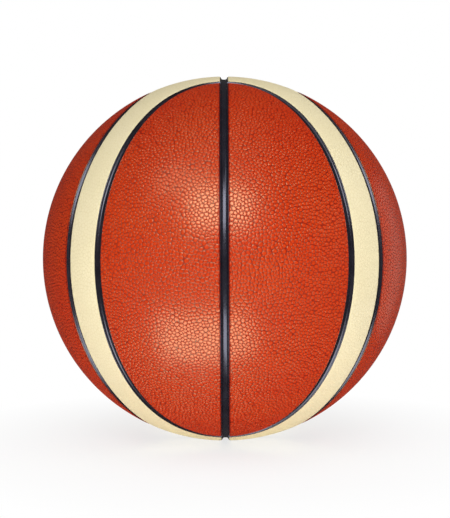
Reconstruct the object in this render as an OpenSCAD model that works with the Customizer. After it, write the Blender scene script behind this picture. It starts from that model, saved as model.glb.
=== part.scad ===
// Basketball with twelve laminated cover panels: eight half ovals and four stripes between them.
// The origin is the ball's centre. +Z points at one of the two poles where the straight seams cross.
// An oval seam lies round each of the -Y, +X, +Y and -X axes, and a straight seam halves it.

/* [Ball] */
// Diameter over the cover panels
ball_d = 243; // [180:0.5:250]
// Thickness of the leather face of a panel, which is also the depth of the channels' edges
panel_t = 1.4; // [1.1:0.1:2.4]
// Thickness of the cloth backing glued under each panel
backing_t = 1; // [0.6:0.1:2]
// Thickness of the rubber carcass between its ribs
carcass_t = 0.7; // [0.5:0.1:2]
// Thickness of the wound nylon layer
winding_t = 0.6; // [0.4:0.1:1.5]
// Thickness of the butyl bladder
bladder_t = 0.6; // [0.4:0.1:1.5]

/* [Seams] */
// Angle at the ball's centre from an oval's middle to its side
oval_side_angle = 38.3; // [34:0.1:40]
// Angle at the ball's centre from an oval's middle to its tip
oval_tip_angle = 68.8; // [60:0.1:72]
// Straight pieces that make up one oval seam
oval_steps = 72; // [48:4:96]
// Width of the channel between two panels
channel_w = 5.1; // [3:0.1:7]
// Width of the rib's flat lip along each side of the channel's hollow
lip_w = 0.3; // [0.2:0.05:0.6]
// Depth of that hollow under the lips
channel_hollow = 1.6; // [0.8:0.1:1.7]
// Width of the rounded shoulder along each panel's edge
shoulder_w = 1.1; // [0.6:0.1:2.5]
// Height of that rounded shoulder
shoulder_h = 0.4; // [0.3:0.1:0.9]

/* [Valve] */
// Angle of the valve from the back oval's straight seam, round the Z axis
valve_angle = 7; // [5:0.5:15]
// Diameter of the valve's neck in the cover
valve_neck_d = 7; // [6.6:0.1:9]
// Diameter of the valve's body inside the bladder
valve_body_d = 11; // [9:0.5:14]
// Length of the valve from its mouth to its inner end
valve_l = 16; // [13:0.5:20]
// Depth of the valve's mouth under the cover's surface
valve_recess = 0.5; // [0.2:0.1:1]
// Diameter of the valve's glued flange
flange_d = 22; // [16:0.5:30]
// Thickness of that flange
flange_t = 1; // [0.6:0.1:2]
// Diameter of the rubber patch round the valve
patch_d = 40; // [32:1:60]
// Thickness of that patch
patch_t = 0.8; // [0.4:0.1:2]
// Diameter of the plug that closes the valve
plug_d = 5; // [4.2:0.1:5.4]
// Diameter of the bead that holds the plug
bead_d = 6.4; // [5.8:0.1:7]
// Length of that bead
bead_l = 1.6; // [1:0.1:2.5]
// Depth of the bead's middle below the valve's mouth
bead_depth = 9; // [7:0.1:10]
// Thickness of the plug's inner end, which is slit and shuts by itself
plug_end_t = 2.4; // [1.5:0.1:4]
// Diameter of the passage for the inflating needle
needle_d = 2; // [1.6:0.1:2.4]
// Diameter of the passage's flared mouth
mouth_d = 3.4; // [2.6:0.1:3.8]
// Depth of that flare
mouth_l = 1.2; // [0.6:0.1:2]
// Width of the slit in the plug's inner end
slit_t = 0.2; // [0.1:0.05:0.4]
// Thickness of the glue between the bladder and its patch
glue_t = 0.1; // [0.05:0.05:0.3]

/* [Hidden] */
// Radius of each layer's outer face, from the cover inwards
ball_r = ball_d / 2;
rib_r = ball_r - panel_t;
carcass_r = rib_r - backing_t;
winding_r = carcass_r - carcass_t;
bladder_r = winding_r - winding_t;
air_r = bladder_r - bladder_t;
// How far cutting shapes run past what they cut, and where the seam shapes end and close
overrun = ball_r / 100;
core_r = 1.2 * ball_r;
far_r = 12 * ball_r;
channel_half = channel_w / 2;
half_steps = oval_steps / 2;
straight_steps = 6;
// Corners of the rounded shoulder, as shares of its width in from the edge and of its height down
shoulder_shares = [[0, 1], [0.12, 0.56], [0.42, 0.16]];
shoulder = [for (s = shoulder_shares) [ball_r - shoulder_h * s[1], channel_half + shoulder_w * s[0]]];
// The last face of the shoulder runs on past the surface at the same slope, so that the surface cuts it
last_fall = shoulder_h * shoulder_shares[2][1];
last_run = shoulder_w * (1 - shoulder_shares[2][0]);
run_on = 1 + overrun / last_fall;
shoulder_end = shoulder[2] + run_on * [last_fall, last_run];
// A seam edge is a list of points, each with its radius and its distance from the seam
rounded_edge = concat(shoulder, [shoulder_end, [core_r, shoulder_end[1]]]);
plain_edge = [[core_r, channel_half]];
// Section of a rib, rooted halfway down in the carcass. Its lips lie level with the foot of the shoulders
rib_root_r = carcass_r - carcass_t / 2;
lip_r = ball_r - shoulder_h;
rib_section = [
    [rib_root_r, channel_half],
    [lip_r, channel_half],
    [lip_r, -channel_half],
    [rib_root_r, -channel_half],
];
// Section of the hollow that is cut along every seam, with its floor's corners as shares of its width and depth
hollow_half = channel_half - lip_w;
floor_shares = [[-1, 0], [-0.6, 0.8], [0, 1], [0.6, 0.8], [1, 0]];
hollow_section = concat(
    [[ball_r, -hollow_half]],
    [for (s = floor_shares) [lip_r - channel_hollow * s[1], hollow_half * s[0]]],
    [[ball_r, hollow_half]]
);
neck_r = valve_neck_d / 2;
mouth_r = ball_r - valve_recess;
valve_end_r = mouth_r - valve_l;
bead_start_r = mouth_r - bead_depth - bead_l / 2;
patch_r = air_r - glue_t;
flange_r = patch_r - patch_t;
slit_l = needle_d - 2 * slit_t;
orange = [0.76, 0.2, 0.09];
cream = [0.9, 0.82, 0.6];
cloth = [0.82, 0.78, 0.68];
$fn = 96;

function unit(v) = v / norm(v);

function surface_angle(distance) = distance / ball_r * 180 / PI;

// An oval seam is an ellipse on the map that keeps true angles from the oval's middle.
// This is its direction from the ball's centre, for the oval round the -Y axis; t is 0 at its upper tip.
function seam_dir(t) =
    let (u = oval_side_angle * sin(t), v = oval_tip_angle * cos(t), a = norm([u, v]))
    [sin(a) * u / a, -cos(a), sin(a) * v / a];

// The seam's direction moved sideways over the surface by a distance, outwards where that is positive
function seam_beside(t, distance) =
    let (
        p = seam_dir(t),
        along = seam_dir(t + 1) - seam_dir(t - 1),
        a = surface_angle(distance)
    )
    cos(a) * p + sin(a) * unit(cross(p, along));

function quarter_turn(p) = [-p[1], p[0], p[2]];

// Outline of the +X half of the oval round the -Y axis, closed along the straight seam
function half_oval_ring(radius, inset) = concat(
    [for (i = [0 : half_steps]) radius * seam_beside(180 * i / half_steps, -inset)],
    [
        for (i = [1 : straight_steps - 1])
            let (a = oval_tip_angle * (2 * i / straight_steps - 1))
            radius * [0, -cos(a), sin(a)]
    ]
);

// Outline of the stripe between the ovals round the -Y and +X axes, through both poles
function stripe_ring(radius, outset) = concat(
    [[0, 0, radius]],
    [
        for (i = [0 : half_steps])
            radius * quarter_turn(seam_beside(360 - 180 * i / half_steps, outset))
    ],
    [[0, 0, -radius]],
    [for (i = [0 : half_steps]) radius * seam_beside(180 - 180 * i / half_steps, outset)]
);

// Solid from the ball's centre outwards through a closed outline.
// rings holds the outline at each radius, inner one first, clockwise as seen from outside the ball.
module radial_core(rings, far_point) {
    n = len(rings[0]);
    last = 1 + (len(rings) - 1) * n;
    points = concat([[0, 0, 0]], [for (ring = rings) for (p = ring) p], [far_point]);
    inner = [for (i = [0 : n - 1]) [0, 1 + i, 1 + (i + 1) % n]];
    outer = [for (i = [0 : n - 1]) [len(points) - 1, last + (i + 1) % n, last + i]];
    sides = [
        for (r = [1 : 1 : len(rings) - 1])
            for (i = [0 : n - 1])
                let (b = 1 + r * n + i, d = 1 + r * n + (i + 1) % n, a = b - n, c = d - n)
                for (f = [[a, b, c], [c, b, d]]) f
    ];
    polyhedron(points, concat(inner, sides, outer));
}

// Ring round the X axis that cuts the straight seam in the plane x = 0
module straight_cut(edge) {
    near = [for (e = edge) [e[0], e[1]]];
    far = [for (i = [len(edge) - 1 : -1 : 0]) [edge[i][0], -edge[i][1]]];
    foot = [winding_r, edge[0][1]];
    rotate([0, 90, 0])
        rotate_extrude()
            polygon(concat([foot], near, far, [[foot[0], -foot[1]]]));
}

module shell(inner_r, outer_r) {
    difference() {
        sphere(outer_r);
        sphere(inner_r);
    }
}

// Half of the oval round the -Y axis between two radii: side is 1 for its +X half and -1 for the other
module half_oval(inner_r, outer_r, edge, side) {
    mirror([side < 0 ? 1 : 0, 0, 0])
        difference() {
            intersection() {
                shell(inner_r, outer_r);
                radial_core([for (e = edge) half_oval_ring(e[0], e[1])], [far_r / 2, -far_r, 0]);
            }
            straight_cut(edge);
        }
}

// Stripe between the ovals round the -Y and +X axes between two radii, from pole to pole
module stripe(inner_r, outer_r, edge) {
    difference() {
        intersection() {
            shell(inner_r, outer_r);
            radial_core([for (e = edge) stripe_ring(e[0], e[1])], [far_r, -far_r, 0]);
        }
        straight_cut(edge);
        rotate(90) straight_cut(edge);
    }
}

// A panel of the oval that lies a turn round Z from the front one
module panel(turn, side) {
    color(orange) rotate(turn) half_oval(rib_r, ball_r, rounded_edge, side);
}

module panel_backing(turn, side) {
    color(cloth) rotate(turn) half_oval(carcass_r, rib_r, plain_edge, side);
}

module stripe_panel(turn) {
    color(cream) rotate(turn) stripe(rib_r, ball_r, rounded_edge);
}

module stripe_backing(turn) {
    color(cloth) rotate(turn) stripe(carcass_r, rib_r, plain_edge);
}

// Puts what is drawn along +Z, with the ball's centre at its origin, at the valve's place in the back
module at_valve() {
    rotate(-valve_angle) rotate([-90, 0, 0]) children();
}

module valve_hole() {
    at_valve() cylinder(h = ball_d, r = neck_r);
}

module valve_panel() {
    difference() {
        panel(180, -1);
        valve_hole();
    }
}

module valve_panel_backing() {
    difference() {
        panel_backing(180, -1);
        valve_hole();
    }
}

// A section swept along the oval seam round the -Y axis
module oval_sweep(section) {
    m = len(section);
    n = oval_steps;
    points = [
        for (i = [0 : n - 1])
            for (e = section) e[0] * seam_beside(360 * i / n, e[1])
    ];
    faces = [
        for (i = [0 : n - 1])
            for (k = [0 : m - 1])
                let (
                    a = i * m + k,
                    b = i * m + (k + 1) % m,
                    c = (i + 1) % n * m + k,
                    d = (i + 1) % n * m + (k + 1) % m
                )
                for (f = [[a, c, b], [b, c, d]]) f
    ];
    polyhedron(points, faces);
}

// A section swept along the straight seam in the plane x = 0
module straight_sweep(section) {
    rotate([0, 90, 0])
        rotate_extrude()
            polygon(section);
}

module every_seam(section) {
    for (i = [0 : 3]) rotate(90 * i) oval_sweep(section);
    straight_sweep(section);
    rotate(90) straight_sweep(section);
}

module carcass() {
    color([0.09, 0.09, 0.1])
        difference() {
            union() {
                shell(winding_r, carcass_r);
                every_seam(rib_section);
            }
            every_seam(hollow_section);
            valve_hole();
        }
}

module winding() {
    color("ivory")
        difference() {
            shell(bladder_r, winding_r);
            valve_hole();
        }
}

module bladder() {
    color([0.2, 0.2, 0.22])
        difference() {
            shell(air_r, bladder_r);
            valve_hole();
        }
}

module bladder_patch() {
    color([0.3, 0.3, 0.32])
        difference() {
            intersection() {
                shell(flange_r, patch_r);
                at_valve() cylinder(h = ball_d, d = patch_d);
            }
            valve_hole();
        }
}

// The plug's outside, which is also the shape of the housing's bore
module plug_form(end) {
    translate([0, 0, valve_end_r - end]) cylinder(h = valve_l + 2 * end, d = plug_d);
    translate([0, 0, bead_start_r]) cylinder(h = bead_l, d = bead_d);
}

module valve_housing() {
    color([0.13, 0.13, 0.14])
        at_valve()
            difference() {
                union() {
                    translate([0, 0, valve_end_r]) cylinder(h = valve_l, r = neck_r);
                    intersection() {
                        sphere(flange_r);
                        translate([0, 0, valve_end_r]) cylinder(h = valve_l, d = valve_body_d);
                    }
                    intersection() {
                        shell(flange_r - flange_t, flange_r);
                        cylinder(h = ball_d, d = flange_d);
                    }
                }
                plug_form(overrun);
            }
}

module valve_plug() {
    passage_l = valve_l - plug_end_t;
    color([0.2, 0.2, 0.21])
        at_valve()
            difference() {
                plug_form(0);
                translate([0, 0, mouth_r - passage_l]) cylinder(h = passage_l + overrun, d = needle_d);
                translate([0, 0, mouth_r - mouth_l]) cylinder(h = mouth_l, d1 = needle_d, d2 = mouth_d);
                translate([0, 0, valve_end_r]) cube([slit_t, slit_l, 3 * plug_end_t], center = true);
            }
}

panel(0, -1);  // front_left_panel
panel(0, 1);  // front_right_panel
panel(90, -1);  // right_front_panel
panel(90, 1);  // right_back_panel
valve_panel();  // back_right_panel
panel(180, 1);  // back_left_panel
panel(270, -1);  // left_back_panel
panel(270, 1);  // left_front_panel
stripe_panel(0);  // front_right_stripe
stripe_panel(90);  // back_right_stripe
stripe_panel(180);  // back_left_stripe
stripe_panel(270);  // front_left_stripe
panel_backing(0, -1);  // front_left_backing
panel_backing(0, 1);  // front_right_backing
panel_backing(90, -1);  // right_front_backing
panel_backing(90, 1);  // right_back_backing
valve_panel_backing();  // back_right_backing
panel_backing(180, 1);  // back_left_backing
panel_backing(270, -1);  // left_back_backing
panel_backing(270, 1);  // left_front_backing
stripe_backing(0);  // front_right_stripe_backing
stripe_backing(90);  // back_right_stripe_backing
stripe_backing(180);  // back_left_stripe_backing
stripe_backing(270);  // front_left_stripe_backing
carcass();
winding();
bladder();
bladder_patch();
valve_housing();
valve_plug();
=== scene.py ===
import math

import bmesh
import bpy
import numpy as np
from mathutils import Matrix, Vector
from mathutils.geometry import delaunay_2d_cdt


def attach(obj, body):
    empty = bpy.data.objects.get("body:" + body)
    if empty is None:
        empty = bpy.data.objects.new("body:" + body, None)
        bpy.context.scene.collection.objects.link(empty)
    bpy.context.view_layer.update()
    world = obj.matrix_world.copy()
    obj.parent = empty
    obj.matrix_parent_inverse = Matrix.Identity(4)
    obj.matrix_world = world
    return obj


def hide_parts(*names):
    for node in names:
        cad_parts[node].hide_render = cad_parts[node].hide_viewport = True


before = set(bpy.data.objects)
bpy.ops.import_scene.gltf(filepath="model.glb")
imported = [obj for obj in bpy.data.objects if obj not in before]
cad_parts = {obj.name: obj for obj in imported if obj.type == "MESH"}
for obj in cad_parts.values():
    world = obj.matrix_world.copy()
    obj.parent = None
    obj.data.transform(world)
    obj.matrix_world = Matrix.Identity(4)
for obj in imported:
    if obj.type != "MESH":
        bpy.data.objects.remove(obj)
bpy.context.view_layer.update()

# Sizes in millimetres, as in the part's source
MM = 0.001
BALL_R = 121.5
RIB_R = 120.1  # undersides of the panels
CARCASS_R = 119.1  # outside of the round shell, which the winding fills
WINDING_R = 118.4
ROOT_R = 118.75  # where the ribs end, inside the shell
SIDE = math.radians(38.3)  # half angles of the oval seams
TIP = math.radians(68.8)
HALF = 2.55  # half a channel's width
HOLLOW = 1.6
HOLLOW_HALF = 2.25
SHOULDER_W = 0.9  # rounded edges of the panels
SHOULDER_H = 0.4
SHOULDER_POWER = 3.6
LIP_R = BALL_R - SHOULDER_H
VALVE_ANGLE = math.radians(7)
VALVE_R = 3.5

# Leather grain
PITCH = 2.35
HEXAGON = 0.866  # area of a pebble, in squares of the pitch
SHAKE = 0.32  # how far the lattice is shaken, in pitches
LONGEST = 1.04  # how far a pebble's corner reaches, against its mean
GRAIN_DEPTH = {"orange": 0.26, "cream": 0.1}
GRAIN_EDGE = 0.7  # share of the depth at the rounded edge
GRAIN_RISE = 2.0  # distance over which a whole depth would be gained
SKIN = 0.02  # tops of the pebbles lie this far under the plain ball
# Rings of a pebble from its middle to its valley: share of the way out and share of the depth
RINGS = ((0.66, 0.0), (0.8, 0.07), (0.9, 0.4))

# Meshes
ROWS = (0.0, 0.1, 0.28)  # loops along a panel's edge, by their distance from it
EDGE_SHADE_RELIEF = 0.4  # painted shade along the edge, as in a valley
GAP_KEPT = 0.14  # free strip between the last loop and the grain's points
GAP_CUT = 0.16  # and between that loop and the ends of cut valleys
EDGE_STEP = 0.9
UNDER_STEP = 7.0  # spacing of the points on the flat underside
UNDER_SEED = 500
SIDE_POINTS = 1400
HOLE_POINTS = 40
CHUNK = 8000  # directions compared with the seam at a time
NUDGE = 0.01  # step along the seam, for its direction


def unit(v):
    return v / np.linalg.norm(v, axis=-1, keepdims=True)


def turned(p, quarter):
    c, s = [(1, 0), (0, 1), (-1, 0), (0, -1)][quarter % 4]
    return np.stack([c * p[..., 0] - s * p[..., 1], s * p[..., 0] + c * p[..., 1], p[..., 2]], -1)


def seam(t):
    """Direction of the oval seam round -Y.

    t is 0 at its upper tip and pi / 2 on the +X side.
    """
    u, v = SIDE * np.sin(t), TIP * np.cos(t)
    a = np.hypot(u, v)
    s = np.sin(a) / a
    return np.stack([s * u, -np.cos(a), s * v], -1)


def outwards(t):
    along = seam(t + NUDGE) - seam(t - NUDGE)
    return unit(np.cross(seam(t), along))


def beside(t, distance):
    a = distance / BALL_R
    return np.cos(a) * seam(t) + np.sin(a) * outwards(t)


SEAM_T = np.linspace(0, 2 * math.pi, 1440, endpoint=False)
SEAM_P, SEAM_N = seam(SEAM_T), outwards(SEAM_T)


def from_oval(q, quarter):
    """Distance over the surface from an oval seam, outwards positive."""
    local = turned(q, -quarter)
    out = np.empty(len(q))
    for i in range(0, len(q), CHUNK):
        part = local[i:i + CHUNK]
        j = np.argmax(part @ SEAM_P.T, axis=1)
        out[i:i + CHUNK] = np.arcsin(np.clip(np.sum(part * SEAM_N[j], -1), -1, 1))
    return out * BALL_R


def from_plane(q, axis):
    return np.arcsin(np.clip(q[:, axis], -1, 1)) * BALL_R


def from_seams(q):
    near = np.minimum(np.abs(from_plane(q, 0)), np.abs(from_plane(q, 1)))
    for k in range(4):
        near = np.minimum(near, np.abs(from_oval(q, k)))
    return near


# Every panel is the front right half oval or the front right stripe, mirrored or turned.
# Their sides are drawn past the corners, and outline() clips them there.
def circle(inset, start, end, n=900):
    """Points beside the plane x = 0, from one angle above -Y to another."""
    a = (HALF + inset) / BALL_R
    e = np.linspace(start, end, n)
    x = np.full(n, math.sin(a))
    return np.stack([x, -math.cos(a) * np.cos(e), math.cos(a) * np.sin(e)], -1)


def swapped(p):
    """Mirrored in the plane that carries the stripe's middle line."""
    return np.stack([-p[..., 1], -p[..., 0], p[..., 2]], -1)


class HalfOval:
    middle = unit(np.array([0.45, -1.0, 0.0]))

    @staticmethod
    def insets(q):
        return [-from_oval(q, 0) - HALF, from_plane(q, 0) - HALF]

    @staticmethod
    def sides(inset):
        t = np.linspace(-0.2, math.pi + 0.2, SIDE_POINTS)
        return [(beside(t, -HALF - inset), 0), (circle(inset, -1.4, 1.4), 1)]


class Stripe:
    middle = unit(np.array([1.0, -1.0, 0.0]))

    @staticmethod
    def insets(q):
        return [
            from_oval(q, 0) - HALF,
            from_oval(q, 1) - HALF,
            from_plane(q, 0) - HALF,
            -from_plane(q, 1) - HALF,
        ]

    @staticmethod
    def sides(inset):
        t = np.linspace(-0.3, math.pi + 0.3, SIDE_POINTS)
        down = circle(inset, 1.75, 0.95)
        up = circle(inset, -0.95, -1.75)
        curve = beside(t, HALF + inset)
        return [
            (down, 2), (curve, 0), (up, 2),
            (swapped(up)[::-1], 3), (swapped(curve)[::-1], 1), (swapped(down)[::-1], 3),
        ]


def clipped(points, value):
    """The stretch of a line where value is positive, with its ends found between the samples."""
    inside = np.flatnonzero(value > 0)
    first, last = inside[0], inside[-1]
    out = [points[first:last + 1]]
    if first > 0:
        f = value[first] / (value[first] - value[first - 1])
        out.insert(0, (points[first] + f * (points[first - 1] - points[first]))[None])
    if last < len(points) - 1:
        f = value[last] / (value[last] - value[last + 1])
        out.append((points[last] + f * (points[last + 1] - points[last]))[None])
    return unit(np.concatenate(out))


def resampled(points, n):
    """n + 1 evenly spaced points along a line."""
    gone = np.concatenate([[0], np.cumsum(np.linalg.norm(np.diff(points, axis=0), axis=1))])
    at = np.linspace(0, gone[-1], n + 1)
    return unit(np.stack([np.interp(at, gone, points[:, k]) for k in range(3)], -1))


def outline(shape, inset, counts):
    """The panel's outline moved in by inset, as one loop, and the steps along each side."""
    loop, made = [], []
    for i, (points, own) in enumerate(shape.sides(inset)):
        others = [v - inset for k, v in enumerate(shape.insets(points)) if k != own]
        line = clipped(points, np.min(others, axis=0))
        length = np.linalg.norm(np.diff(line, axis=0), axis=1).sum() * BALL_R
        n = counts[i] if counts else max(2, round(length / EDGE_STEP))
        made.append(n)
        loop.append(resampled(line, n)[:-1])
    return np.concatenate(loop), made


def chart(middle):
    """Stereographic map round middle, which keeps circles and angles."""
    e1 = unit(np.cross([0, 0, 1.0], middle))
    e2 = np.cross(middle, e1)

    def flat(q):
        k = 2 * BALL_R / (1 + q @ middle)
        return np.stack([k * (q @ e1), k * (q @ e2)], -1)

    return flat


def triangles(points, edges=(), inside=False):
    """Faces between flat points, and the given points that each of their corners stands for."""
    verts = [Vector(p) for p in points]
    out = delaunay_2d_cdt(verts, list(edges), [], 1 if inside else 0, 1e-7)
    return out[2], out[3]


def lattice(seed, spacing):
    """Evenly spread directions all over the ball, in a spiral that is shaken and turned."""
    rng = np.random.default_rng(seed)
    n = int(4 * math.pi * BALL_R ** 2 / (HEXAGON * spacing ** 2))
    i = np.arange(n) + 0.5
    z = 1 - 2 * i / n
    a = i * math.pi * (3 - math.sqrt(5))
    r = np.sqrt(1 - z * z)
    p = np.stack([r * np.cos(a), r * np.sin(a), z], -1)
    q, _ = np.linalg.qr(rng.normal(size=(3, 3)))
    return unit(p @ q.T + rng.normal(size=p.shape) * (SHAKE * spacing / BALL_R))


def relaxed(points, flat, times):
    """Points moved towards the middle of their neighbours, so that no two crowd each other."""
    for _ in range(times):
        f = np.array(triangles(flat(points))[0])
        e = np.concatenate([f[:, [0, 1]], f[:, [1, 2]], f[:, [2, 0]]])
        e = np.unique(np.sort(e, 1), axis=0)
        total, count = np.zeros_like(points), np.zeros(len(points))
        for a, b in ((0, 1), (1, 0)):
            np.add.at(total, e[:, a], points[e[:, b]])
            np.add.at(count, e[:, a], 1)
        points = unit(points * 0.5 + 0.5 * total / count[:, None])
    return points


def grain(points, flat):
    """Cells round the points, as directions, their relief and the edges in the valleys.

    Relief is 0 at a top and 1 in a valley; the leather paints shade where it is high.
    """
    f = np.array(triangles(flat(points))[0])
    a, b, c = points[f[:, 0]], points[f[:, 1]], points[f[:, 2]]
    corner = unit(np.cross(b - a, c - a))
    corner *= np.sign(np.sum(corner * a, -1))[:, None]
    n = len(points)
    cell = f.ravel()
    spoke = np.repeat(corner, 3, axis=0) - points[cell]
    length = np.linalg.norm(spoke, axis=1)
    mean = np.bincount(cell, length, n) / np.maximum(np.bincount(cell, minlength=n), 1)
    reach = np.minimum(length, LONGEST * mean[cell]) / length
    verts, relief = [points, corner], [np.zeros(n), np.ones(len(corner))]
    for share, down in RINGS:
        verts.append(unit(points[cell] + spoke * (share * reach)[:, None]))
        relief.append(np.full(len(cell), down))
    owner = {}
    edges = []
    for k, tri in enumerate(f.tolist()):
        for x, y in ((0, 1), (1, 2), (2, 0)):
            key = (min(tri[x], tri[y]), max(tri[x], tri[y]))
            if key in owner:
                edges.append((n + owner[key], n + k))
            else:
                owner[key] = k
    return np.concatenate(verts), np.concatenate(relief), np.array(edges)


def fall(inset):
    """How far the rounded edge lies under the surface."""
    return SHOULDER_H * np.clip(1 - inset / SHOULDER_W, 0, 1) ** SHOULDER_POWER


def ring_round(middle, radius, n):
    """Loop of directions round a direction, as far from it over the surface as radius."""
    e1 = unit(np.cross([0, 0, 1.0], middle))
    e2 = np.cross(middle, e1)
    a = radius / BALL_R
    w = (np.arange(n) * 2 * math.pi / n)[:, None]
    return math.cos(a) * middle + math.sin(a) * (np.cos(w) * e1 + np.sin(w) * e2)


def panel_mesh(shape, seed, depth, hole=None):
    """A panel's closed mesh, in the first panel's place: points, relief and faces."""
    flat = chart(shape.middle)

    def inset_of(q):
        value = np.min(shape.insets(q), axis=0)
        if hole is not None:
            value = np.minimum(value, np.arccos(np.clip(q @ hole, -1, 1)) * BALL_R - VALVE_R)
        return value

    _, counts = outline(shape, 0.0, None)
    loops = [[outline(shape, i, counts)[0] for i in ROWS]]
    if hole is not None:
        loops.append([ring_round(hole, VALVE_R + i, HOLE_POINTS)[::-1] for i in ROWS])
    points, relief, faces = [], [], []
    size = 0

    def add(q, radius, value):
        nonlocal size
        points.append(q * np.asarray(radius).reshape(-1, 1))
        relief.append(np.broadcast_to(value, len(q)).astype(float))
        size += len(q)
        return size - len(q)

    tops, bottoms = [], []
    for rows in loops:
        n = len(rows[0])
        # The wall under the edge takes the valley's full painted shade, and the rounded edge part
        # of it.
        starts = [add(rows[0], np.full(n, RIB_R), 1.0)]
        for row, inset in zip(rows, ROWS):
            starts.append(add(row, np.full(n, BALL_R - fall(inset)), EDGE_SHADE_RELIEF))
        i = np.arange(n)
        j = (i + 1) % n
        for low, high in zip(starts, starts[1:]):
            faces += np.stack([low + i, low + j, high + j, high + i], -1).tolist()
        tops.append((starts[-1], rows[-1]))
        bottoms.append((starts[0], rows[0]))

    def cover(rings, q, radius, value, edges, downwards):
        """Fills the surface inside the first ring and outside the others."""
        ids = np.concatenate([s + np.arange(len(r)) for s, r in rings])
        start = add(q, radius, value)
        ids = np.concatenate([ids, start + np.arange(len(q))])
        every = np.concatenate([r for _, r in rings] + [q])
        n = sum(len(r) for _, r in rings)
        loop_edges, at = [], 0
        for _, r in rings:
            k = np.arange(len(r))
            loop_edges += np.stack([at + k, at + (k + 1) % len(r)], -1).tolist()
            at += len(r)
        inner = (np.asarray(edges) + n).tolist() if len(edges) else []
        tri, source = triangles(flat(every), loop_edges + inner, True)
        first = np.array([s[0] if s else -1 for s in source])
        tri = first[np.array(tri)]
        tri = tri[(tri >= 0).all(1)]
        if len(rings) > 1:
            tri = tri[~((tri >= len(rings[0][1])) & (tri < n)).all(1)]
        a, b, c = (every[tri[:, k]] for k in range(3))
        up = np.sum(np.cross(b - a, c - a) * a, -1)
        wrong = (up < 0) != downwards
        tri[wrong] = tri[wrong][:, ::-1]
        faces.extend(ids[tri].tolist())

    # Grained top
    q = lattice(seed, PITCH)
    q = q[q @ shape.middle > -0.05]
    q = q[inset_of(q) > -3.5 * PITCH]
    q = relaxed(q, flat, 2)
    verts, down, edges = grain(q, flat)
    inset = inset_of(verts)
    keep = inset > ROWS[-1] + GAP_KEPT
    cut = edges[keep[edges[:, 0]] != keep[edges[:, 1]]]
    cut = np.where(keep[cut[:, :1]], cut, cut[:, ::-1])
    near, far = cut[:, 0], cut[:, 1]
    share = (inset[near] - ROWS[-1] - GAP_CUT) / (inset[near] - inset[far])
    ends = unit(verts[near] + share[:, None] * (verts[far] - verts[near]))
    edges = edges[keep[edges[:, 0]] & keep[edges[:, 1]]]
    number = np.full(len(verts), -1)
    number[keep] = np.arange(keep.sum())
    edges = np.concatenate([
        number[edges],
        np.stack([number[near], keep.sum() + np.arange(len(cut))], -1),
    ])
    verts = np.concatenate([verts[keep], ends])
    down = np.concatenate([down[keep], np.ones(len(ends))])
    inset = inset_of(verts)
    amount = depth * np.clip(GRAIN_EDGE + (inset - ROWS[-1]) / GRAIN_RISE, 0, 1)
    radius = BALL_R - SKIN - fall(inset) - amount * down
    cover(tops, verts, radius, down, edges, False)

    # Flat underside, in the valley's painted shade
    q = lattice(seed + UNDER_SEED, UNDER_STEP)
    q = q[q @ shape.middle > -0.05]
    q = q[inset_of(q) > 0.5 * UNDER_STEP]
    cover(bottoms, q, np.full(len(q), RIB_R), 1.0, (), True)
    return np.concatenate(points), np.concatenate(relief), faces


def mesh_object(name, points, relief, faces):
    """A smooth object from points in millimetres, with the relief at each, which sets its
    material's painted shade and roughness.
    """
    mesh = bpy.data.meshes.new(name)
    mesh.from_pydata((points * MM).tolist(), [], faces)
    attribute = mesh.attributes.new("relief", "FLOAT", "POINT")
    attribute.data.foreach_set("value", relief.astype(np.float32))
    mesh.polygons.foreach_set("use_smooth", [True] * len(mesh.polygons))
    mesh.update()
    obj = bpy.data.objects.new(name, mesh)
    bpy.context.scene.collection.objects.link(obj)
    return obj


# Materials
def principled(name, **sockets):
    """A material, its node tree and its shader, with the shader's own values set."""
    material = bpy.data.materials.new(name)
    material.use_nodes = True
    shader = material.node_tree.nodes["Principled BSDF"]
    for key, value in sockets.items():
        shader.inputs[key.replace("_", " ")].default_value = value
    return material, material.node_tree, shader


def node(tree, kind, **values):
    """A node with its properties or inputs set by name."""
    made = tree.nodes.new(kind)
    for key, value in values.items():
        if key in made.bl_rna.properties:
            setattr(made, key, value)
        else:
            made.inputs[key.replace("_", " ")].default_value = value
    return made


def mixed(tree, factor, low, high):
    """A colour between two colours or outputs."""
    mix = tree.nodes.new("ShaderNodeMix")
    mix.data_type = "RGBA"
    for index, value in ((0, factor), (6, low), (7, high)):
        if isinstance(value, bpy.types.NodeSocket):
            tree.links.new(value, mix.inputs[index])
        else:
            mix.inputs[index].default_value = value
    return mix.outputs[2]


def spread(tree, value, low, high, to_low=0.0, to_high=1.0):
    """The value with its range from low to high stretched to another range."""
    made = tree.nodes.new("ShaderNodeMapRange")
    for index, number in enumerate((low, high, to_low, to_high), start=1):
        made.inputs[index].default_value = number
    tree.links.new(value, made.inputs[0])
    return made.outputs[0]


def noise(tree, where, scale, detail=4.0):
    made = node(tree, "ShaderNodeTexNoise", Scale=scale, Detail=detail, Roughness=0.55)
    tree.links.new(where, made.inputs["Vector"])
    return made.outputs[0]


def bumped(tree, shader, height, strength, distance=0.0001):
    bump = node(tree, "ShaderNodeBump", Strength=strength, Distance=distance)
    tree.links.new(height, bump.inputs["Height"])
    tree.links.new(bump.outputs[0], shader.inputs["Normal"])


def rgb(r, g, b):
    """Linear colour from the usual 0 to 255 scale."""
    def linear(c):
        c /= 255
        return c / 12.92 if c <= 0.04045 else ((c + 0.055) / 1.055) ** 2.4
    return (linear(r), linear(g), linear(b), 1.0)


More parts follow.
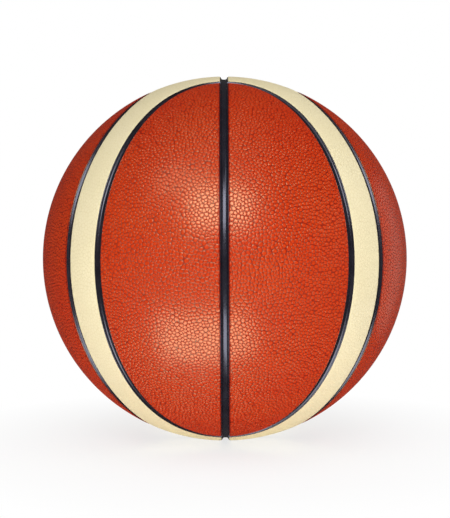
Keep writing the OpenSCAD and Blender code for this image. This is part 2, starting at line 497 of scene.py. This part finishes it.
def leather(name, top, valley_shade_and_fleck, blotch, roughness, gloss, tint):
    """Grained composite leather: valleys darkened with painted shade, faint flecks, soft blotches,
    fine wrinkles on each pebble.
    """
    material, tree, shader = principled(name, Specular_IOR_Level=gloss, Specular_Tint=tint)
    where = node(tree, "ShaderNodeTexCoord").outputs["Object"]
    relief = node(tree, "ShaderNodeAttribute", attribute_name="relief").outputs["Fac"]
    cloudy = spread(tree, noise(tree, where, 28.0), 0.35, 0.7)
    body = mixed(tree, cloudy, top, blotch)
    fleck = spread(tree, noise(tree, where, 420.0, 2.0), 0.3, 0.75)
    body = mixed(tree, spread(tree, fleck, 0, 1, 0.0, 0.18), body, valley_shade_and_fleck)
    # Painted shade: the valley colour wherever the relief is high, in the grain's valleys, on the
    # rounded edges and on the walls under them.
    valley_shade_mask = spread(tree, relief, 0.02, 0.45)
    tree.links.new(mixed(tree, valley_shade_mask, body, valley_shade_and_fleck), shader.inputs["Base Color"])
    matt = spread(tree, relief, 0.0, 0.6, roughness, roughness + 0.06)
    tree.links.new(matt, shader.inputs["Roughness"])
    bumped(tree, shader, noise(tree, where, 1500.0, 3.0), 0.06)
    return material


def rubber(name, colour, roughness, gloss=0.5):
    """Moulded rubber: faint cloudy colour and a fine moulded skin."""
    material, tree, shader = principled(
        name, Specular_IOR_Level=gloss, Specular_Tint=(0.78, 0.8, 1.0, 1.0),
    )
    where = node(tree, "ShaderNodeTexCoord").outputs["Object"]
    cloudy = noise(tree, where, 60.0)
    pale = tuple(min(1.0, c * 1.7 + 0.004) for c in colour[:3]) + (1.0,)
    body = mixed(tree, spread(tree, cloudy, 0.3, 0.75), colour, pale)
    tree.links.new(body, shader.inputs["Base Color"])
    matt = spread(tree, cloudy, 0.2, 0.8, roughness - 0.05, roughness + 0.08)
    tree.links.new(matt, shader.inputs["Roughness"])
    bumped(tree, shader, noise(tree, where, 900.0, 2.0), 0.15)
    return material


def thread(name, colour, dark, scale, angle):
    """Cloth or wound thread: crossing waves of yarn with dark gaps."""
    material, tree, shader = principled(name, Roughness=0.85)
    where = node(tree, "ShaderNodeTexCoord").outputs["Object"]
    waves = []
    for turn in (angle, angle + math.pi / 2):
        mapping = node(tree, "ShaderNodeMapping")
        mapping.inputs["Rotation"].default_value = (turn, turn / 3, turn)
        tree.links.new(where, mapping.inputs["Vector"])
        wave = node(tree, "ShaderNodeTexWave", Scale=scale, Distortion=1.2)
        tree.links.new(mapping.outputs[0], wave.inputs["Vector"])
        waves.append(wave.outputs["Fac"])
    both = node(tree, "ShaderNodeMath", operation="MULTIPLY")
    for index, wave in enumerate(waves):
        tree.links.new(wave, both.inputs[index])
    tree.links.new(mixed(tree, both.outputs[0], dark, colour), shader.inputs["Base Color"])
    bumped(tree, shader, both.outputs[0], 0.5, 0.0003)
    return material


# Each valley colour is painted shade, and it also tints the faint flecks.
orange = leather(
    "orange_leather", top=rgb(208, 62, 16), valley_shade_and_fleck=rgb(143, 16, 2), blotch=rgb(205, 53, 14),
    roughness=0.22, gloss=1.0, tint=(0.96, 0.96, 0.56, 1.0),
)
cream = leather(
    "cream_leather", top=rgb(246, 234, 196), valley_shade_and_fleck=rgb(238, 224, 180), blotch=rgb(243, 230, 188),
    roughness=0.42, gloss=0.35, tint=(1.0, 1.0, 1.0, 1.0),
)
black = rubber("channel_rubber", rgb(24, 21, 28), 0.24, gloss=0.9)
valve_black = rubber("valve_rubber", rgb(26, 26, 28), 0.45)
plug_black = rubber("plug_rubber", rgb(38, 37, 38), 0.5)
butyl = rubber("butyl_rubber", rgb(60, 60, 64), 0.4)
cloth = thread("backing_cloth", rgb(212, 204, 182), rgb(150, 140, 118), 320.0, 0.4)
nylon = thread("nylon_winding", rgb(238, 234, 222), rgb(170, 164, 150), 200.0, 0.9)

# Panels: name, shape, quarter turns from the front, and mirrored or not
PANELS = [
    ("front_right_panel", HalfOval, 0, False),
    ("right_back_panel", HalfOval, 1, False),
    ("back_left_panel", HalfOval, 2, False),
    ("left_front_panel", HalfOval, 3, False),
    ("front_left_panel", HalfOval, 0, True),
    ("right_front_panel", HalfOval, 1, True),
    ("back_right_panel", HalfOval, 2, True),
    ("left_back_panel", HalfOval, 3, True),
    ("front_right_stripe", Stripe, 0, False),
    ("back_right_stripe", Stripe, 1, False),
    ("back_left_stripe", Stripe, 2, False),
    ("front_left_stripe", Stripe, 3, False),
]
for seed, (name, shape, quarter, mirrored) in enumerate(PANELS, start=1):
    orange_panel = shape is HalfOval
    hole = None
    if name == "back_right_panel":
        hole = np.array([math.sin(VALVE_ANGLE), -math.cos(VALVE_ANGLE), 0.0])
    depth = GRAIN_DEPTH["orange" if orange_panel else "cream"]
    points, relief, faces = panel_mesh(shape, seed, depth, hole)
    if mirrored:
        points = points * [-1, 1, 1]
        faces = [f[::-1] for f in faces]
    obj = mesh_object(name + "_grained", turned(points, quarter), relief, faces)
    obj.data.materials.append(orange if orange_panel else cream)
    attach(obj, "root")
    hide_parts(name)


# Carcass: ribs with a smooth hollow along every seam, on a thin round shell
COLUMNS = np.array([0, 0.25, 0.45, 0.6, 0.72, 0.83, 0.92, 1]) * HOLLOW_HALF
ACROSS = np.concatenate([[-HALF], -COLUMNS[:0:-1], COLUMNS, [HALF]])
HOLLOW_POWER = 4
ROW_STEP = 3.0
CLEAR = 1.3  # free stretch between a crossing rib and the next row


def on_straight(e, s):
    """Points beside the plane x = 0.

    e turns from -Y over +Z, and s is the distance from the plane.
    """
    e, a = np.broadcast_arrays(e, np.asarray(s) / BALL_R)
    return np.stack([np.sin(a), -np.cos(a) * np.cos(e), np.cos(a) * np.sin(e)], -1)


def row_angles(start, end, crossings):
    """Even steps between two angles.

    The columns of every crossing rib take the place of the steps near it.
    """
    n = round((end - start) * BALL_R / ROW_STEP)
    e = np.linspace(start, end, n + 1)
    for c in crossings:
        e = e[np.abs(e - c) * BALL_R > HALF + CLEAR]
    return np.sort(np.concatenate([e] + [c + ACROSS / BALL_R for c in crossings]))


def rib_rows():
    """Grids of directions, each with a row along the seam and a column across it."""
    tips = [-TIP, TIP]
    crossings = [-math.pi + TIP, *tips, math.pi - TIP, -math.pi / 2, math.pi / 2]
    e = row_angles(-math.pi, math.pi, crossings)
    grids = [on_straight(e[:, None], ACROSS[None])]
    e = row_angles(-math.pi / 2, math.pi / 2, tips)
    e = e[np.abs(np.abs(e) - math.pi / 2) * BALL_R > HALF + CLEAR]
    half = turned(on_straight(e[:, None], ACROSS[None]), 1)
    low = on_straight(-math.pi / 2 - ACROSS / BALL_R, HALF)
    high = on_straight(math.pi / 2 + ACROSS / BALL_R, HALF)
    half = np.concatenate([low[None], half, high[None]])
    grids += [half, turned(half, 2)]
    t = np.linspace(0, math.pi, 2000)
    line = seam(t)
    gone = np.concatenate([[0], np.cumsum(np.linalg.norm(np.diff(line, axis=0), axis=1))]) * BALL_R
    steps = round((gone[-1] - 2 * (HALF + CLEAR)) / ROW_STEP)
    t = np.interp(np.linspace(HALF + CLEAR, gone[-1] - HALF - CLEAR, steps), gone, t)
    arc = np.stack([beside(t, c) for c in ACROSS], 1)
    first = on_straight(TIP + ACROSS / BALL_R, HALF)
    last = on_straight(-TIP - ACROSS / BALL_R, HALF)
    arc = np.concatenate([first[None], arc, last[None]])
    for k in range(4):
        grids += [turned(arc, k), turned(arc * [-1, 1, 1], k)]
    return grids


def ribs_mesh():
    """The ribs as one closed mesh: hollow tops, walls along their edges and undersides."""
    bm = bmesh.new()
    for grid in rib_rows():
        q = grid.reshape(-1, 3)
        near = np.minimum(from_seams(q), HOLLOW_HALF)
        q = q * (LIP_R - HOLLOW * (1 - (near / HOLLOW_HALF) ** HOLLOW_POWER))[:, None]
        verts = [bm.verts.new(p) for p in q]
        rows, columns = grid.shape[:2]
        for i in range(rows - 1):
            for j in range(columns - 1):
                a = i * columns + j
                bm.faces.new([verts[a], verts[a + 1], verts[a + columns + 1], verts[a + columns]])
    bmesh.ops.remove_doubles(bm, verts=bm.verts, dist=1e-3)
    bm.verts.index_update()
    points = np.array([v.co for v in bm.verts])
    faces = []
    for f in bm.faces:
        ids = [v.index for v in f.verts]
        faces.append(ids if f.normal.dot(f.calc_center_median()) > 0 else ids[::-1])
    bm.free()
    used = {(f[i], f[(i + 1) % len(f)]) for f in faces for i in range(len(f))}
    n = len(points)
    walls = [(b, a, a + n, b + n) for a, b in used if (b, a) not in used]
    under = [tuple(i + n for i in reversed(f)) for f in faces]
    return np.concatenate([points, unit(points) * ROOT_R]), faces + walls + under


def shell_mesh():
    """Round shell with the valve's hole."""
    bm = bmesh.new()
    bmesh.ops.create_icosphere(bm, subdivisions=5, radius=CARCASS_R)
    inner = bmesh.ops.create_icosphere(bm, subdivisions=5, radius=WINDING_R)["verts"]
    bmesh.ops.reverse_faces(bm, faces=list({f for v in inner for f in v.link_faces}))
    mesh = bpy.data.meshes.new("shell")
    bm.to_mesh(mesh)
    bm.free()
    shell = bpy.data.objects.new("shell", mesh)
    bm = bmesh.new()
    way = Vector((math.sin(VALVE_ANGLE), math.cos(VALVE_ANGLE), 0))
    place = Matrix.Translation(way * CARCASS_R) @ way.to_track_quat("Z", "Y").to_matrix().to_4x4()
    bmesh.ops.create_cone(
        bm, cap_ends=True, segments=HOLE_POINTS, radius1=VALVE_R, radius2=VALVE_R,
        depth=8 * HALF, matrix=place,
    )
    mesh = bpy.data.meshes.new("cutter")
    bm.to_mesh(mesh)
    bm.free()
    cutter = bpy.data.objects.new("cutter", mesh)
    for obj in (shell, cutter):
        bpy.context.scene.collection.objects.link(obj)
    cut = shell.modifiers.new("valve hole", "BOOLEAN")
    cut.operation, cut.object, cut.solver = "DIFFERENCE", cutter, "EXACT"
    mesh = shell.evaluated_get(bpy.context.evaluated_depsgraph_get()).to_mesh()
    points = np.array([v.co for v in mesh.vertices])
    faces = [tuple(p.vertices) for p in mesh.polygons]
    for obj in (shell, cutter):
        bpy.data.objects.remove(obj)
    return points, faces


points, faces = ribs_mesh()
more_points, more_faces = shell_mesh()
faces += [tuple(i + len(points) for i in f) for f in more_faces]
points = np.concatenate([points, more_points])
obj = mesh_object("carcass_moulded", points, np.zeros(len(points)), faces)
obj.data.materials.append(black)
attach(obj, "root")
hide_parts("carcass")

for name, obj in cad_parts.items():
    if name.endswith("_backing"):
        finish, slot = cloth, "backing_cloth"
    elif name == "winding":
        finish, slot = nylon, "nylon_winding"
    elif name in ("bladder", "bladder_patch"):
        finish, slot = butyl, "butyl_rubber"
    elif name == "valve_housing":
        finish, slot = valve_black, "valve_rubber"
    elif name == "valve_plug":
        finish, slot = plug_black, "plug_rubber"
    else:
        continue
    obj.data.materials.clear()
    obj.data.materials.append(finish)

# Floor, in metres: white to the camera, with a faint shadow round the ball's foot
WIDE = 6.0
FLOOR_Z = -0.1216
SHADOW_NEAR, SHADOW_FAR, SHADOW_WHITE = 0.06, 0.22, 0.75
bpy.ops.mesh.primitive_plane_add(size=2 * WIDE, location=(0, 0, FLOOR_Z))
floor = bpy.context.object
floor.name = "floor"
material, tree, shader = principled("floor", Base_Color=(0.9, 0.9, 0.9, 1.0), Roughness=0.9)
white = node(tree, "ShaderNodeEmission", Color=(1, 1, 1, 1), Strength=1.0)
path = node(tree, "ShaderNodeLightPath")
place = node(tree, "ShaderNodeTexCoord").outputs["Object"]
length = node(tree, "ShaderNodeVectorMath", operation="LENGTH")
tree.links.new(place, length.inputs[0])
away = length.outputs["Value"]
far = spread(tree, away, SHADOW_NEAR, SHADOW_FAR, SHADOW_WHITE, 1.0)
camera_only = node(tree, "ShaderNodeMath", operation="MULTIPLY")
tree.links.new(far, camera_only.inputs[0])
tree.links.new(path.outputs["Is Camera Ray"], camera_only.inputs[1])
mix = node(tree, "ShaderNodeMixShader")
tree.links.new(camera_only.outputs[0], mix.inputs[0])
tree.links.new(shader.outputs[0], mix.inputs[1])
tree.links.new(white.outputs[0], mix.inputs[2])
tree.links.new(mix.outputs[0], tree.nodes["Material Output"].inputs["Surface"])
floor.data.materials.append(material)
floor.visible_shadow = False
floor.visible_glossy = False

# Soft light from all round, and white behind the ball for the camera alone
ROUND_LIGHT = 0.06
world = bpy.data.worlds.new("studio")
bpy.context.scene.world = world
world.use_nodes = True
tree = world.node_tree
light = tree.nodes["Background"]
light.inputs["Color"].default_value = (1.0, 1.0, 1.0, 1.0)
path = node(tree, "ShaderNodeLightPath")
strength = node(tree, "ShaderNodeMath", operation="MAXIMUM")
strength.inputs[0].default_value = ROUND_LIGHT
tree.links.new(path.outputs["Is Camera Ray"], strength.inputs[1])
tree.links.new(strength.outputs[0], light.inputs["Strength"])


def lamp(name, where, size, radiance):
    """Softbox that faces the ball: size is its width and height in metres."""
    data = bpy.data.lights.new(name, "AREA")
    data.shape = "RECTANGLE"
    data.size, data.size_y = size
    data.energy = radiance * math.pi * size[0] * size[1]
    obj = bpy.data.objects.new(name, data)
    bpy.context.scene.collection.objects.link(obj)
    obj.location = where
    obj.rotation_mode = "QUATERNION"
    obj.rotation_quaternion = Vector(where).to_track_quat("Z", "Y")
    obj.visible_camera = False
    return obj


def around(distance, azimuth, elevation):
    """Place round the ball: azimuth 0 is in front of it and 90 to its right."""
    a, e = math.radians(azimuth), math.radians(elevation)
    return (
        distance * math.sin(a) * math.cos(e),
        -distance * math.cos(a) * math.cos(e),
        distance * math.sin(e),
    )


# Two softboxes for the photograph's two highlights, and two weak ones for its sheens
lamp("key", around(1.5, -2.2, 30.5), (0.88, 0.62), 5.8)
lamp("below", around(1.2, -15.7, -45), (1.1, 0.62), 4.4)
lamp("high_left", around(1.5, -35, 44), (0.7, 0.5), 1.5)
lamp("right_rim", around(1.8, 124, 0), (0.8, 1.4), 0.5)
# Fill light for the other sides, which shows in no reflection
for name, where, size, radiance in (
    ("fill_high", around(1.8, 0, 70), (1.2, 1.2), 2.4),
    ("fill_right", around(1.8, 75, 10), (1.0, 1.2), 2.4),
    ("fill_left", around(1.8, -75, 10), (1.0, 1.2), 0.3),
    ("fill_back", around(1.8, 180, 5), (1.4, 1.4), 3.3),
):
    lamp(name, where, size, radiance).visible_glossy = False

# Camera: 6.1 ball radii from the centre and a degree and a half above it, fitted to the seams
PHOTO_W, PHOTO_H = 450, 518
FOCAL_PX = 1098.0
DISTANCE = 6.115 * BALL_R * MM
CENTRE_PX = (224.8, 258.48)
PITCH_UP = math.radians(1.49)
YAW = math.radians(0.09)
ROLL = math.radians(-0.24)
data = bpy.data.cameras.new("camera")
data.sensor_fit = "AUTO"
data.sensor_width = 36.0
data.lens = data.sensor_width * FOCAL_PX / PHOTO_H
data.shift_x = -(CENTRE_PX[0] - PHOTO_W / 2) / PHOTO_H
data.shift_y = (CENTRE_PX[1] - PHOTO_H / 2) / PHOTO_H
data.clip_start, data.clip_end = 0.01, 50
camera = bpy.data.objects.new("camera", data)
bpy.context.scene.collection.objects.link(camera)
back = Vector((
    math.sin(YAW) * math.cos(PITCH_UP),
    -math.cos(YAW) * math.cos(PITCH_UP),
    math.sin(PITCH_UP),
))
camera.location = back * DISTANCE
camera.rotation_mode = "QUATERNION"
camera.rotation_quaternion = back.to_track_quat("Z", "Y")
camera.rotation_quaternion @= Matrix.Rotation(ROLL, 3, "Z").to_quaternion()
bpy.context.scene.camera = camera
bpy.context.scene.view_settings.view_transform = "Standard"
